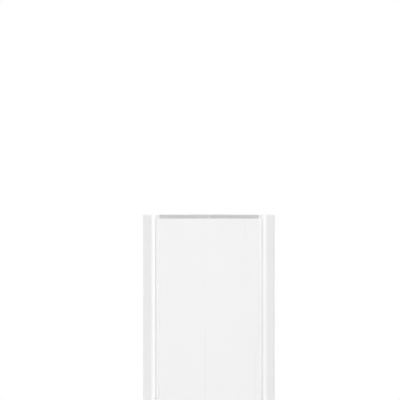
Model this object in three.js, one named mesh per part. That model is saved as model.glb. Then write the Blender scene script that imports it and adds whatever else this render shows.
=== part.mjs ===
// Corner cable raceway: a PVC channel for a vertical room corner, closed by a cover that snaps in.
// Millimetres. The length runs along +Z, the front faces -Y, and the section is symmetric about X = 0.
import * as THREE from "three";

// Base channel
const baseLength = 400;
const legWidth = 40; // from the corner line to the outer edge of each leg
const baseWall = 1.5;
const backRadius = 2;
const innerBackRadius = 1.2;
const legEdgeRadius = 0.4;
const pocketRadius = 0.6;
const frontBendRadius = 2.9;
const lipWidth = 1.3; // from the sharp front corner to the seam
const ledgeWidth = 1.6; // the ledge that the cover's edge lies on
const ledgeThickness = 1.2;
const pocketDepth = 1.5; // from the ledge's back to the leg's inner corner

// Cover
const coverThickness = 1.4;
const coverSetback = 1.6; // the cover ends this far below the top of the base
const beadWidth = 1.2;
const beadHeight = 0.2;
const grooveWidth = 0.4;
const grooveDepth = 0.15;
const tongueThickness = 1.2;
const hookReach = 0.7; // overlap behind the ledge
const hookNose = 0.3;
const hookDepth = 1.2;

// Clearances
const seamGap = 0.08;
const seatGap = 0.2;
const tongueGap = 0.3;
const hookGap = 0.3;
const bondGap = 0.3;

// Adhesive tape
const tapeWidth = 20;
const tapeThickness = 1;
const tapeEndInset = 4;

const bendSteps = 5;
const beadSteps = 6;

const diagonal = Math.SQRT1_2; // the legs stand at 45 degrees to X and Y
const degrees = THREE.MathUtils.degToRad;

// The point that lies along the right leg from the corner line, and inward of its wall plane.
function onLeg(along, inward) {
  return [(along - inward) * diagonal, -(along + inward) * diagonal];
}

function arc([x, y], radius, fromDegrees, toDegrees, steps = bendSteps) {
  const points = [];
  for (let i = 0; i <= steps; i++) {
    const angle = degrees(fromDegrees + ((toDegrees - fromDegrees) * i) / steps);
    points.push([x + radius * Math.cos(angle), y + radius * Math.sin(angle)]);
  }
  return points;
}

// A section from its right half, which starts and ends on the axis.
function symmetricSection(rightHalf) {
  const leftHalf = rightHalf
    .slice(1, -1)
    .map(([x, y]) => [-x, y])
    .reverse();
  return new THREE.Shape([...rightHalf, ...leftHalf].map(([x, y]) => new THREE.Vector2(x, y)));
}

function extrusion(rightHalf, length) {
  const shape = symmetricSection(rightHalf);
  return new THREE.ExtrudeGeometry(shape, { depth: length, bevelEnabled: false });
}

// Lines that both the base and the cover follow
const ledgeBackY = onLeg(legWidth - baseWall, baseWall)[1] - pocketDepth;
const ledgeY = ledgeBackY - ledgeThickness;
const coverBackY = ledgeY - seatGap;
const frontY = coverBackY - coverThickness;
const frontCornerX = frontY + 2 * legWidth * diagonal; // where the flank would meet the front
const lipEdgeX = frontCornerX - lipWidth;
const ledgeEdgeX = lipEdgeX - ledgeWidth;
const coverHalfWidth = lipEdgeX - seamGap;

function baseSection() {
  const halfBend = Math.tan(degrees(22.5));
  const bend = Math.min(frontBendRadius, lipWidth / halfBend);
  const bendCentre = [frontCornerX - bend * halfBend, frontY + bend];
  const ledgeRootX = ledgeBackY + 2 * (legWidth - baseWall) * diagonal;
  const pocket = [legWidth - baseWall - pocketRadius, baseWall + pocketRadius];
  const innerBack = baseWall + innerBackRadius;
  return [
    ...arc(onLeg(backRadius, backRadius), backRadius, 90, 45),
    ...arc(onLeg(legWidth - legEdgeRadius, legEdgeRadius), legEdgeRadius, 45, -45),
    ...arc(bendCentre, bend, -45, -90),
    [lipEdgeX, frontY],
    [lipEdgeX, ledgeY],
    [ledgeEdgeX, ledgeY],
    [ledgeEdgeX, ledgeBackY],
    [ledgeRootX, ledgeBackY],
    ...arc(onLeg(...pocket), pocketRadius, -45, 45),
    ...arc(onLeg(innerBack, innerBack), innerBackRadius, 45, 90),
  ];
}

function coverSection() {
  const grooveEnd = coverHalfWidth - beadWidth;
  const beadRadius = (beadWidth ** 2 / 4 + beadHeight ** 2) / (2 * beadHeight);
  const beadAngle = THREE.MathUtils.radToDeg(Math.asin(beadWidth / 2 / beadRadius));
  const beadCentre = [coverHalfWidth - beadWidth / 2, frontY - beadHeight + beadRadius];
  const bead = arc(beadCentre, beadRadius, -90 - beadAngle, -90 + beadAngle, beadSteps);
  const hookY = ledgeBackY + hookGap;
  const hookTipX = ledgeEdgeX + hookReach;
  const tongueOuterX = ledgeEdgeX - tongueGap;
  const tongueInnerX = tongueOuterX - tongueThickness;
  return [
    [0, frontY],
    [grooveEnd - grooveWidth, frontY],
    [grooveEnd - grooveWidth / 2, frontY + grooveDepth],
    ...bead,
    [coverHalfWidth, coverBackY],
    [tongueOuterX, coverBackY],
    [tongueOuterX, hookY],
    [hookTipX, hookY],
    [hookTipX, hookY + hookNose],
    [tongueOuterX, hookY + hookDepth],
    [tongueInnerX, hookY + hookDepth],
    [tongueInnerX, coverBackY],
    [0, coverBackY],
  ];
}

function piece(name, geometry, material) {
  const mesh = new THREE.Mesh(geometry, material);
  mesh.name = name;
  return mesh;
}

const pvcWhite = { color: 0xf3f2f0, roughness: 0.38, metalness: 0 };
const foamWhite = { color: 0xe6e4de, roughness: 0.9, metalness: 0 };

function baseChannel() {
  const material = new THREE.MeshStandardMaterial(pvcWhite);
  return piece("base_channel", extrusion(baseSection(), baseLength), material);
}

function snapCover() {
  const material = new THREE.MeshStandardMaterial(pvcWhite);
  return piece("snap_cover", extrusion(coverSection(), baseLength - coverSetback), material);
}

// side is 1 for the right leg and -1 for the left one.
function adhesiveTape(name, side) {
  const geometry = new THREE.BoxGeometry(tapeWidth, tapeThickness, baseLength - 2 * tapeEndInset);
  const tape = piece(name, geometry, new THREE.MeshStandardMaterial(foamWhite));
  const [x, y] = onLeg(legWidth / 2, -bondGap - tapeThickness / 2);
  tape.position.set(side * x, y, baseLength / 2);
  tape.rotation.z = (-side * Math.PI) / 4;
  return tape;
}

const raceway = new THREE.Group();
raceway.add(
  baseChannel(),
  snapCover(),
  adhesiveTape("left_adhesive_tape", -1),
  adhesiveTape("right_adhesive_tape", 1),
);

// The origin is under the middle of the section, on the lower end.
const frontMostY = frontY - beadHeight;
const backMostY = onLeg(backRadius, backRadius)[1] + backRadius;
raceway.position.y = -(frontMostY + backMostY) / 2;

export default raceway;
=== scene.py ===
import math

import bmesh
import bpy
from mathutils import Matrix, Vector


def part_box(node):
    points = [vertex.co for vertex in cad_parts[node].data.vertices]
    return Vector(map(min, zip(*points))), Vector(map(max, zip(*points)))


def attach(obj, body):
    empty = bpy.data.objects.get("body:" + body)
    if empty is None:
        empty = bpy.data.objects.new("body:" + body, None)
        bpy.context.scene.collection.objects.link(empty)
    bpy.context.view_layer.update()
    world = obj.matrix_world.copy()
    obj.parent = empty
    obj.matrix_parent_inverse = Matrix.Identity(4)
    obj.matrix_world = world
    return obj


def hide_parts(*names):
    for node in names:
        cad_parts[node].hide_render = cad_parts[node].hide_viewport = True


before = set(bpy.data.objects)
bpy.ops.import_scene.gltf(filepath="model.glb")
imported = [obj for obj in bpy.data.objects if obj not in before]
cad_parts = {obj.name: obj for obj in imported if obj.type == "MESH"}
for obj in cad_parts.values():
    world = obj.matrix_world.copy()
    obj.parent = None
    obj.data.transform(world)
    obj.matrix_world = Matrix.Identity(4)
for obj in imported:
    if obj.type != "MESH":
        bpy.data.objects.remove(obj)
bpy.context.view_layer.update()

MM = 0.001
DIAGONAL = math.sqrt(0.5)

# Base channel
LEG_WIDTH = 40.0
BASE_WALL = 1.5
BACK_RADIUS = 2.0
INNER_BACK_RADIUS = 1.2
LEG_EDGE_RADIUS = 0.4
POCKET_RADIUS = 0.6
FRONT_BEND_RADIUS = 2.9
LIP_WIDTH = 1.3
LEDGE_WIDTH = 1.6
LEDGE_THICKNESS = 1.2
POCKET_DEPTH = 1.5

# Cover
COVER_THICKNESS = 1.4
BEAD_WIDTH = 1.2
BEAD_HEIGHT = 0.2
GROOVE_WIDTH = 0.4
GROOVE_DEPTH = 0.15
TONGUE_THICKNESS = 1.2
HOOK_REACH = 0.7
HOOK_NOSE = 0.3
HOOK_DEPTH = 1.2
TONGUE_FILLET = 0.6

# Clearances
SEAM_GAP = 0.08
SEAT_GAP = 0.2
TONGUE_GAP = 0.3
HOOK_GAP = 0.3
BOND_GAP = 0.3

# Edges
EDGE_RADIUS = 0.25
FINE_RADIUS = 0.12
LIP_EDGE_RADIUS = 0.08
SAWN_EDGE = 0.05
ARC_STEP = math.radians(7.5)
BEAD_STEPS = 14
LENGTH_STEPS = 24

# Adhesive tape; a wave is the radians that it runs through along the tape
TAPE_WIDTH = 20.0
TAPE_THICKNESS = 1.0
TAPE_STEPS_ACROSS = 20
TAPE_STEPS_ALONG = 98
TAPE_EDGE_DROP = 0.22
TAPE_EDGE_POWER = 14
RIPPLE_HEIGHT = 0.03
RIPPLE_WAVE = 63.0
RIPPLE_SLANT = 5.0
RIPPLE_POWER = 3
DRIFT = 0.10
DRIFT_WAVE = 41.0
DRIFT_SWELL = 17.0
SIDE_PINCH = 0.12
PINCH_LEVEL = 0.55
FOOT_INSET = 0.02


def on_leg(along, inward):
    """The point along the right leg from the corner line, and inward of its wall plane."""
    return ((along - inward) * DIAGONAL, -(along + inward) * DIAGONAL)


LEDGE_BACK_Y = on_leg(LEG_WIDTH - BASE_WALL, BASE_WALL)[1] - POCKET_DEPTH
LEDGE_Y = LEDGE_BACK_Y - LEDGE_THICKNESS
COVER_BACK_Y = LEDGE_Y - SEAT_GAP
FRONT_Y = COVER_BACK_Y - COVER_THICKNESS
FRONT_CORNER_X = FRONT_Y + 2 * LEG_WIDTH * DIAGONAL
LIP_EDGE_X = FRONT_CORNER_X - LIP_WIDTH
LEDGE_EDGE_X = LIP_EDGE_X - LEDGE_WIDTH
LEDGE_ROOT_X = LEDGE_BACK_Y + 2 * (LEG_WIDTH - BASE_WALL) * DIAGONAL
COVER_HALF_WIDTH = LIP_EDGE_X - SEAM_GAP
BACK_Y = on_leg(BACK_RADIUS, BACK_RADIUS)[1] + BACK_RADIUS
SECTION_SHIFT_Y = -(FRONT_Y - BEAD_HEIGHT + BACK_Y) / 2


def rounded(corners):
    """An outline from its corners, each (x, y, radius), with an arc at every radius above zero."""
    outline = []
    for i, (x, y, radius) in enumerate(corners):
        corner = Vector((x, y))
        if radius <= 0:
            outline.append(corner)
            continue
        before = Vector(corners[i - 1][:2]) - corner
        after = Vector(corners[(i + 1) % len(corners)][:2]) - corner
        before.normalize()
        after.normalize()
        half = before.angle(after) / 2
        centre = corner + (before + after).normalized() * (radius / math.sin(half))
        tangent = radius / math.tan(half)
        start = corner + before * tangent - centre
        end = corner + after * tangent - centre
        turn = start.angle_signed(end)
        steps = max(2, math.ceil(abs(turn) / ARC_STEP))
        first = math.atan2(start.y, start.x)
        for step in range(steps + 1):
            angle = first - turn * step / steps
            outline.append(centre + radius * Vector((math.cos(angle), math.sin(angle))))
    return outline


def base_outline():
    """The base channel's section, from the corner line round to the inner back."""
    right = [
        (*on_leg(0, 0), BACK_RADIUS),
        (*on_leg(LEG_WIDTH, 0), LEG_EDGE_RADIUS),
        (FRONT_CORNER_X, FRONT_Y, FRONT_BEND_RADIUS),
        (LIP_EDGE_X, FRONT_Y, LIP_EDGE_RADIUS),
        (LIP_EDGE_X, LEDGE_Y, FINE_RADIUS),
        (LEDGE_EDGE_X, LEDGE_Y, EDGE_RADIUS),
        (LEDGE_EDGE_X, LEDGE_BACK_Y, EDGE_RADIUS),
        (LEDGE_ROOT_X, LEDGE_BACK_Y, FINE_RADIUS),
        (*on_leg(LEG_WIDTH - BASE_WALL, BASE_WALL), POCKET_RADIUS),
        (*on_leg(BASE_WALL, BASE_WALL), INNER_BACK_RADIUS),
    ]
    left = [(-x, y, radius) for x, y, radius in right[-2:0:-1]]
    return rounded(right + left)


def bead_corners():
    """The raised bead along the cover's edge: a low arc."""
    middle = COVER_HALF_WIDTH - BEAD_WIDTH / 2
    radius = (BEAD_WIDTH**2 / 4 + BEAD_HEIGHT**2) / (2 * BEAD_HEIGHT)
    half_angle = math.asin(BEAD_WIDTH / 2 / radius)
    corners = []
    for step in range(BEAD_STEPS + 1):
        angle = half_angle * (2 * step / BEAD_STEPS - 1)
        y = FRONT_Y - BEAD_HEIGHT + radius * (1 - math.cos(angle))
        corners.append((middle + radius * math.sin(angle), y, 0))
    return corners


def cover_outline():
    """The cover's section: flat panel, groove and bead at each edge, and a hooked tongue."""
    groove_end = COVER_HALF_WIDTH - BEAD_WIDTH
    hook_y = LEDGE_BACK_Y + HOOK_GAP
    hook_tip_x = LEDGE_EDGE_X + HOOK_REACH
    tongue_outer_x = LEDGE_EDGE_X - TONGUE_GAP
    tongue_inner_x = tongue_outer_x - TONGUE_THICKNESS
    right = [
        (groove_end - GROOVE_WIDTH, FRONT_Y, FINE_RADIUS / 2),
        (groove_end - GROOVE_WIDTH / 2, FRONT_Y + GROOVE_DEPTH, FINE_RADIUS / 2),
        *bead_corners(),
        (COVER_HALF_WIDTH, COVER_BACK_Y, EDGE_RADIUS),
        (tongue_outer_x, COVER_BACK_Y, FINE_RADIUS),
        (tongue_outer_x, hook_y, FINE_RADIUS),
        (hook_tip_x, hook_y, FINE_RADIUS),
        (hook_tip_x, hook_y + HOOK_NOSE, FINE_RADIUS),
        (tongue_outer_x, hook_y + HOOK_DEPTH, EDGE_RADIUS),
        (tongue_inner_x, hook_y + HOOK_DEPTH, EDGE_RADIUS),
        (tongue_inner_x, COVER_BACK_Y, TONGUE_FILLET),
    ]
    left = [(-x, y, radius) for x, y, radius in right[::-1]]
    return rounded(right + left)


def inset(outline, distance):
    """The outline moved inwards by a distance, corner by corner."""
    area = sum(a.cross(b) for a, b in zip(outline, outline[1:] + outline[:1]))
    inward = 1 if area > 0 else -1
    moved = []
    for i, point in enumerate(outline):
        before = (point - outline[i - 1]).normalized()
        after = (outline[(i + 1) % len(outline)] - point).normalized()
        along = (before + after).normalized()
        moved.append(point + inward * distance * Vector((-along.y, along.x)))
    return moved


def placed(x, y, z):
    """A point of a section in the shared frame, with z already in metres."""
    return (x * MM, (y + SECTION_SHIFT_Y) * MM, z)


def link(name, data):
    """A new object in the scene."""
    thing = bpy.data.objects.new(name, data)
    bpy.context.scene.collection.objects.link(thing)
    return thing


def lofted(name, rings):
    """A closed skin through rings of equally many points, with a flat cap at each end."""
    mesh = bpy.data.meshes.new(name)
    form = bmesh.new()
    loops = [[form.verts.new(point) for point in ring] for ring in rings]
    for lower, upper in zip(loops, loops[1:]):
        for i in range(len(lower)):
            j = (i + 1) % len(lower)
            form.faces.new((lower[i], lower[j], upper[j], upper[i])).smooth = True
    form.faces.new(loops[0][::-1])
    form.faces.new(loops[-1])
    bmesh.ops.recalc_face_normals(form, faces=form.faces)
    form.to_mesh(mesh)
    form.free()
    return link(name, mesh)


def even_normals(piece, weight):
    """Shading that follows the large faces, so flats stay flat beside their small radii."""
    normals = piece.modifiers.new("even_normals", "WEIGHTED_NORMAL")
    normals.weight = weight
    normals.keep_sharp = True


def extruded(name, outline, length):
    """A closed extrusion with slightly broken sawn edges, from Z = 0 up."""
    broken = inset(outline, SAWN_EDGE)
    inner_length = length - 2 * SAWN_EDGE
    sections = [(broken, 0.0)]
    for step in range(LENGTH_STEPS + 1):
        sections.append((outline, SAWN_EDGE + inner_length * step / LENGTH_STEPS))
    sections.append((broken, length))
    piece = lofted(name, [[placed(p.x, p.y, z * MM) for p in section] for section, z in sections])
    even_normals(piece, weight=80)
    return piece


def tape_section(t, side):
    """The tape's section at t, from 0 to 1 along it: points (along the leg, out from its wall)."""
    outer = BOND_GAP + TAPE_THICKNESS
    middle = LEG_WIDTH / 2
    half_width = TAPE_WIDTH / 2
    drift = DRIFT * math.sin(DRIFT_WAVE * t + side) * math.sin(DRIFT_SWELL * t)
    section = []
    for step in range(TAPE_STEPS_ACROSS + 1):
        u = -1 + 2 * step / TAPE_STEPS_ACROSS
        ripple = RIPPLE_HEIGHT * (1 + math.sin(RIPPLE_WAVE * t + RIPPLE_SLANT * u))
        drop = TAPE_EDGE_DROP * abs(u) ** TAPE_EDGE_POWER + ripple * abs(u) ** RIPPLE_POWER
        section.append((middle + u * half_width + drift * (1 - abs(u)), outer - drop))
    section.append((middle + half_width - SIDE_PINCH, PINCH_LEVEL * outer))
    section.append((middle + half_width - FOOT_INSET, 0.0))
    section.append((middle - half_width + FOOT_INSET, 0.0))
    section.append((middle - half_width + SIDE_PINCH, PINCH_LEVEL * outer))
    return section


def tape_strip(node, side):
    """One tape, bonded to the leg: soft edges, pinched cut sides and a faintly rippled face."""
    lowest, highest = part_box(node)
    length = highest[2] - lowest[2]
    rings = []
    for step in range(TAPE_STEPS_ALONG + 1):
        t = step / TAPE_STEPS_ALONG
        z = lowest[2] + length * t
        ring = []
        for along, out in tape_section(t, side):
            x, y = on_leg(along, -out)
            ring.append(placed(side * x, y, z))
        rings.append(ring)
    piece = lofted(node + "_foam", rings)
    even_normals(piece, weight=50)
    return piece


# Finishes: a shade is a share of the material's colour, and bump heights are in metres
NOISE_LOW = 0.2
NOISE_HIGH = 0.8
FACING_LIMIT = 0.9
DEEP_SHADE = 0.985
PALE_SHADE = 1.005
SAWN_SHADE = 0.93
SAWN_ROUGHNESS = 0.72
SAWN_STRENGTH = 0.8
BROAD_LINE_WEIGHT = 2.2
WAVE_WEIGHT = 8.0
LINE_HEIGHT = 0.0000014
TOOTH_HEIGHT = 0.00006
PORE_HEIGHT = 0.00012
SCRIM_HEIGHT = 0.00003
SCRIM_STRENGTH = 0.6
PVC_IOR = 1.53
FOAM_IOR = 1.45
CELLS_PER_METRE = 2600.0


class Graph:
    """A material's nodes, made and joined by short calls."""

    def __init__(self, name):
        self.material = bpy.data.materials.new(name)
        self.material.use_nodes = True
        self.tree = self.material.node_tree
        self.shader = self.tree.nodes["Principled BSDF"]

    def put(self, kind, inputs=None, **settings):
        node = self.tree.nodes.new(kind)
        for key, value in settings.items():
            setattr(node, key, value)
        for key, value in (inputs or {}).items():
            self.set(node, key, value)
        return node

    def set(self, node, key, value):
        socket = node.inputs[key]
        if isinstance(value, bpy.types.NodeSocket):
            self.tree.links.new(value, socket)
        else:
            socket.default_value = value

    def math(self, operation, first, second=0.0, third=0.0):
        node = self.put("ShaderNodeMath", {0: first, 1: second, 2: third}, operation=operation)
        return node.outputs[0]

    def position(self, scale):
        where = self.put("ShaderNodeTexCoord").outputs["Object"]
        mapping = self.put("ShaderNodeMapping", {"Vector": where, "Scale": scale})
        return mapping.outputs["Vector"]

    def noise(self, scale, stretch=(1, 1, 1), detail=2.0, roughness=0.5):
        inputs = {
            "Vector": self.position(stretch),
            "Scale": scale,
            "Detail": detail,
            "Roughness": roughness,
        }
        return self.put("ShaderNodeTexNoise", inputs).outputs["Fac"]

    def spread(self, value, low, high):
        """Noise spread smoothly from low to high."""
        inputs = {
            "Value": value,
            "From Min": NOISE_LOW,
            "From Max": NOISE_HIGH,
            "To Min": low,
            "To Max": high,
        }
        return self.put("ShaderNodeMapRange", inputs, interpolation_type="SMOOTHSTEP").outputs["Result"]

    def mix(self, factor, first, second):
        node = self.put("ShaderNodeMix", data_type="RGBA")
        self.set(node, 0, factor)
        self.set(node, 6, first)
        self.set(node, 7, second)
        return node.outputs[2]

    def bump(self, height, distance, strength=1.0, under=None):
        inputs = {"Height": height, "Distance": distance, "Strength": strength}
        if under is not None:
            inputs["Normal"] = under
        return self.put("ShaderNodeBump", inputs).outputs["Normal"]

    def facing(self, axis):
        """How squarely the surface faces an axis, from 0 to 1."""
        normal = self.put("ShaderNodeNewGeometry").outputs["True Normal"]
        inputs = {0: normal, 1: axis}
        dot = self.put("ShaderNodeVectorMath", inputs, operation="DOT_PRODUCT").outputs["Value"]
        return self.math("ABSOLUTE", dot)


def shade(colour, share):
    return tuple(min(1.0, share * c) for c in colour) + (1.0,)


def pvc(name, colour, sheen_low, sheen_high):
    """Extruded white PVC: faint die lines along Z, soft mottling, and rough sawn ends."""
    graph = Graph(name)
    shader = graph.shader
    sawn = graph.math("GREATER_THAN", graph.facing((0, 0, 1)), FACING_LIMIT)

    mottle = graph.noise(scale=38.0, stretch=(1, 1, 0.35), detail=3.0)
    tint = graph.spread(mottle, 0.0, 1.0)
    skin = graph.mix(tint, shade(colour, DEEP_SHADE), shade(colour, PALE_SHADE))
    graph.set(shader, "Base Color", graph.mix(sawn, skin, shade(colour, SAWN_SHADE)))

    lines = graph.noise(scale=900.0, stretch=(1, 1, 0.004), detail=3.0, roughness=0.6)
    broad_lines = graph.noise(scale=170.0, stretch=(1, 1, 0.01), detail=2.0)
    waves = graph.noise(scale=22.0, stretch=(1, 1, 0.5), detail=1.0)
    sheen = graph.put("ShaderNodeCombineColor", {0: graph.spread(lines, sheen_low, sheen_high)})
    rough = graph.mix(sawn, sheen.outputs[0], (SAWN_ROUGHNESS, 0, 0, 1))
    graph.set(shader, "Roughness", graph.put("ShaderNodeSeparateColor", {0: rough}).outputs[0])

    height = graph.math("MULTIPLY_ADD", broad_lines, BROAD_LINE_WEIGHT, lines)
    height = graph.math("MULTIPLY_ADD", waves, WAVE_WEIGHT, height)
    drawn = graph.bump(height, LINE_HEIGHT)
    teeth = graph.noise(scale=1500.0, stretch=(0.08, 1, 1), detail=4.0, roughness=0.7)
    sawn_strength = graph.math("MULTIPLY", sawn, SAWN_STRENGTH)
    graph.set(shader, "Normal", graph.bump(teeth, TOOTH_HEIGHT, sawn_strength, drawn))
    shader.inputs["IOR"].default_value = PVC_IOR
    return graph.material


def foam():
    """White foam tape: open cells at its cut sides, with painted shade in their pores, and a tacky, slightly
    glossy face.
    """
    graph = Graph("foam_tape")
    shader = graph.shader
    left = graph.facing((-DIAGONAL, DIAGONAL, 0))
    right = graph.facing((DIAGONAL, DIAGONAL, 0))
    face = graph.math("GREATER_THAN", graph.math("MAXIMUM", left, right), FACING_LIMIT)

    where = {"Vector": graph.position((1, 1, 1)), "Scale": CELLS_PER_METRE}
    cells = graph.put("ShaderNodeTexVoronoi", where).outputs["Distance"]
    # Painted shade: the cut sides' colour darkens towards each cell's middle, where the bump sinks the pore
    painted_pore_shade = graph.spread(cells, 0.0, 1.0)
    mottle = graph.spread(graph.noise(scale=120.0, stretch=(1, 1, 0.4), detail=4.0, roughness=0.6), 0.0, 1.0)
    foam_colour_with_painted_pore_shade = graph.mix(painted_pore_shade, (0.70, 0.69, 0.66, 1), (0.86, 0.85, 0.82, 1))
    tacky = graph.mix(mottle, (0.74, 0.72, 0.65, 1), (0.82, 0.80, 0.74, 1))
    graph.set(shader, "Base Color", graph.mix(face, foam_colour_with_painted_pore_shade, tacky))

    rough = graph.math("MULTIPLY_ADD", face, -0.45, 0.93)
    graph.set(shader, "Roughness", graph.math("MULTIPLY_ADD", mottle, 0.08, rough))
    cell_strength = graph.math("MULTIPLY_ADD", face, -0.75, 1.0)
    pores = graph.bump(cells, PORE_HEIGHT, cell_strength)
    scrim = graph.noise(scale=700.0)
    graph.set(shader, "Normal", graph.bump(scrim, SCRIM_HEIGHT, SCRIM_STRENGTH, pores))
    shader.inputs["IOR"].default_value = FOAM_IOR
    return graph.material


def dress(piece, node, body, material):
    piece.data.materials.append(material)
    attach(piece, body)
    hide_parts(node)


def height_of(node):
    return (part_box(node)[1][2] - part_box(node)[0][2]) / MM


BASE_WHITE = (0.855, 0.855, 0.86)
# The cover is the same white PVC as the base; its colour is set a little darker as painted shade, so its
# face sits below the base's bend highlights
COVER_WHITE_WITH_PAINTED_SHADE = (0.812, 0.812, 0.817)


def build_object():
    base = extruded("base_extrusion", base_outline(), height_of("base_channel"))
    base_pvc = pvc("base_pvc", BASE_WHITE, sheen_low=0.24, sheen_high=0.27)
    dress(base, "base_channel", "base", base_pvc)
    cover = extruded("cover_extrusion", cover_outline(), height_of("snap_cover"))
    # The cover's PVC takes the darker white, which is painted shade
    cover_pvc = pvc("cover_pvc", COVER_WHITE_WITH_PAINTED_SHADE, sheen_low=0.27, sheen_high=0.30)
    dress(cover, "snap_cover", "cover", cover_pvc)
    tape = foam()
    for node, side in (("left_adhesive_tape", -1), ("right_adhesive_tape", 1)):
        dress(tape_strip(node, side), node, "base", tape)


# The camera stands level in front of the cover; the picture is 400 pixels square.
PICTURE = 400
PIXELS_PER_MM = 2.35
CENTRE_PIXEL_X = 209.05
TOP_PIXEL_Y = 214.8
CAMERA_DISTANCE = 1.5
SENSOR_MM = 36.0


def place_camera():
    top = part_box("base_channel")[1][2]
    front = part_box("snap_cover")[0][1]
    camera = link("camera", bpy.data.cameras.new("camera"))
    x = (PICTURE / 2 - CENTRE_PIXEL_X) / PIXELS_PER_MM * MM
    z = top + (TOP_PIXEL_Y - PICTURE / 2) / PIXELS_PER_MM * MM
    camera.location = (x, front - CAMERA_DISTANCE, z)
    camera.rotation_euler = (math.radians(90), 0, 0)
    camera.data.sensor_width = SENSOR_MM
    camera.data.lens = SENSOR_MM * CAMERA_DISTANCE / (PICTURE / PIXELS_PER_MM * MM)
    camera.data.clip_end = 50
    bpy.context.scene.camera = camera


WORLD_FILL = 0.30


def seen_directly(tree):
    """1 for rays that come from the camera, or by a mirror or glass, and 0 for the rest."""
    path = tree.nodes.new("ShaderNodeLightPath")
    total = path.outputs["Is Camera Ray"]
    for name in ("Is Glossy Ray", "Is Transmission Ray"):
        join = tree.nodes.new("ShaderNodeMath")
        join.operation = "MAXIMUM"
        tree.links.new(total, join.inputs[0])
        tree.links.new(path.outputs[name], join.inputs[1])
        total = join.outputs[0]
    return total


def light_world():
    """A world that is white where it is seen, and a plain fill where it lights the object."""
    world = bpy.data.worlds.new("studio")
    bpy.context.scene.world = world
    world.use_nodes = True
    tree = world.node_tree
    background = tree.nodes["Background"]
    background.inputs["Color"].default_value = (1, 1, 1, 1)
    strength = tree.nodes.new("ShaderNodeMapRange")
    strength.inputs["To Min"].default_value = WORLD_FILL
    strength.inputs["To Max"].default_value = 1.0
    tree.links.new(seen_directly(tree), strength.inputs["Value"])
    tree.links.new(strength.outputs["Result"], background.inputs["Strength"])


FLOOR_RADIUS = 1.4
FLOOR_SIDES = 96
FLOOR_GAP = 0.0005
FLOOR_PAINT = (0.86, 0.86, 0.86, 1)
FADE_START = 0.35
FADE_END = 1.1


def lay_floor():
    """A pale round floor that keeps the shadow and fades into the white around it."""
    mesh = bpy.data.meshes.new("floor")
    form = bmesh.new()
    bmesh.ops.create_circle(form, cap_ends=True, segments=FLOOR_SIDES, radius=FLOOR_RADIUS)
    form.to_mesh(mesh)
    form.free()
    floor = link("floor", mesh)
    floor.location.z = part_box("base_channel")[0][2] - FLOOR_GAP
    graph = Graph("floor")
    tree = graph.tree
    graph.shader.inputs["Base Color"].default_value = FLOOR_PAINT
    graph.shader.inputs["Roughness"].default_value = 0.85
    place = graph.put("ShaderNodeTexCoord").outputs["Object"]
    radius = graph.put("ShaderNodeVectorMath", {0: place}, operation="LENGTH").outputs["Value"]
    inputs = {"Value": radius, "From Min": FADE_START, "From Max": FADE_END}
    fade = graph.put("ShaderNodeMapRange", inputs, interpolation_type="SMOOTHSTEP").outputs["Result"]
    factor = graph.math("MULTIPLY", fade, seen_directly(tree))
    white = graph.put("ShaderNodeEmission").outputs[0]
    mixed = graph.put("ShaderNodeMixShader", {0: factor, 1: graph.shader.outputs[0], 2: white})
    tree.links.new(mixed.outputs[0], tree.nodes["Material Output"].inputs["Surface"])
    floor.data.materials.append(graph.material)


UPPER_PART = (0, 0, 0.34)


def area_lamp(name, place, size, watts, target=UPPER_PART):
    """A soft lamp of width and height size, aimed at target, which no camera sees."""
    data = bpy.data.lights.new(name, "AREA")
    data.shape = "RECTANGLE"
    data.size, data.size_y = size
    data.energy = watts
    lamp = link(name, data)
    lamp.location = place
    lamp.rotation_euler = (Vector(target) - Vector(place)).to_track_quat("-Z", "Y").to_euler()
    lamp.visible_camera = False


def light_studio():
    """Wide strips at both sides for the bends, with a soft key, side and back lamps."""
    area_lamp("left_key", (-0.34, -0.80, 0.32), size=(0.30, 0.30), watts=0.34, target=(0, 0, 0.26))
    area_lamp("above_camera", (-0.10, -0.95, 1.15), size=(0.60, 0.60), watts=1.2)
    area_lamp("over_the_end", (0.02, -0.08, 1.40), size=(0.30, 0.30), watts=5.5, target=(0, 0, 0.40))
    area_lamp("right_strip", (0.90, -1.02, 0.72), size=(0.70, 0.90), watts=6.3)
    area_lamp("left_strip", (-0.90, -1.02, 0.72), size=(0.70, 0.90), watts=5.7)
    area_lamp("right_side", (1.25, -0.40, 0.45), size=(0.30, 1.00), watts=1.2)
    area_lamp("left_side", (-1.25, -0.40, 0.45), size=(0.30, 1.00), watts=1.4)
    area_lamp("behind", (0.10, 1.30, 0.60), size=(1.20, 1.20), watts=9.0)


place_camera()
build_object()
light_world()
lay_floor()
light_studio()
bpy.context.scene.view_settings.view_transform = "Standard"
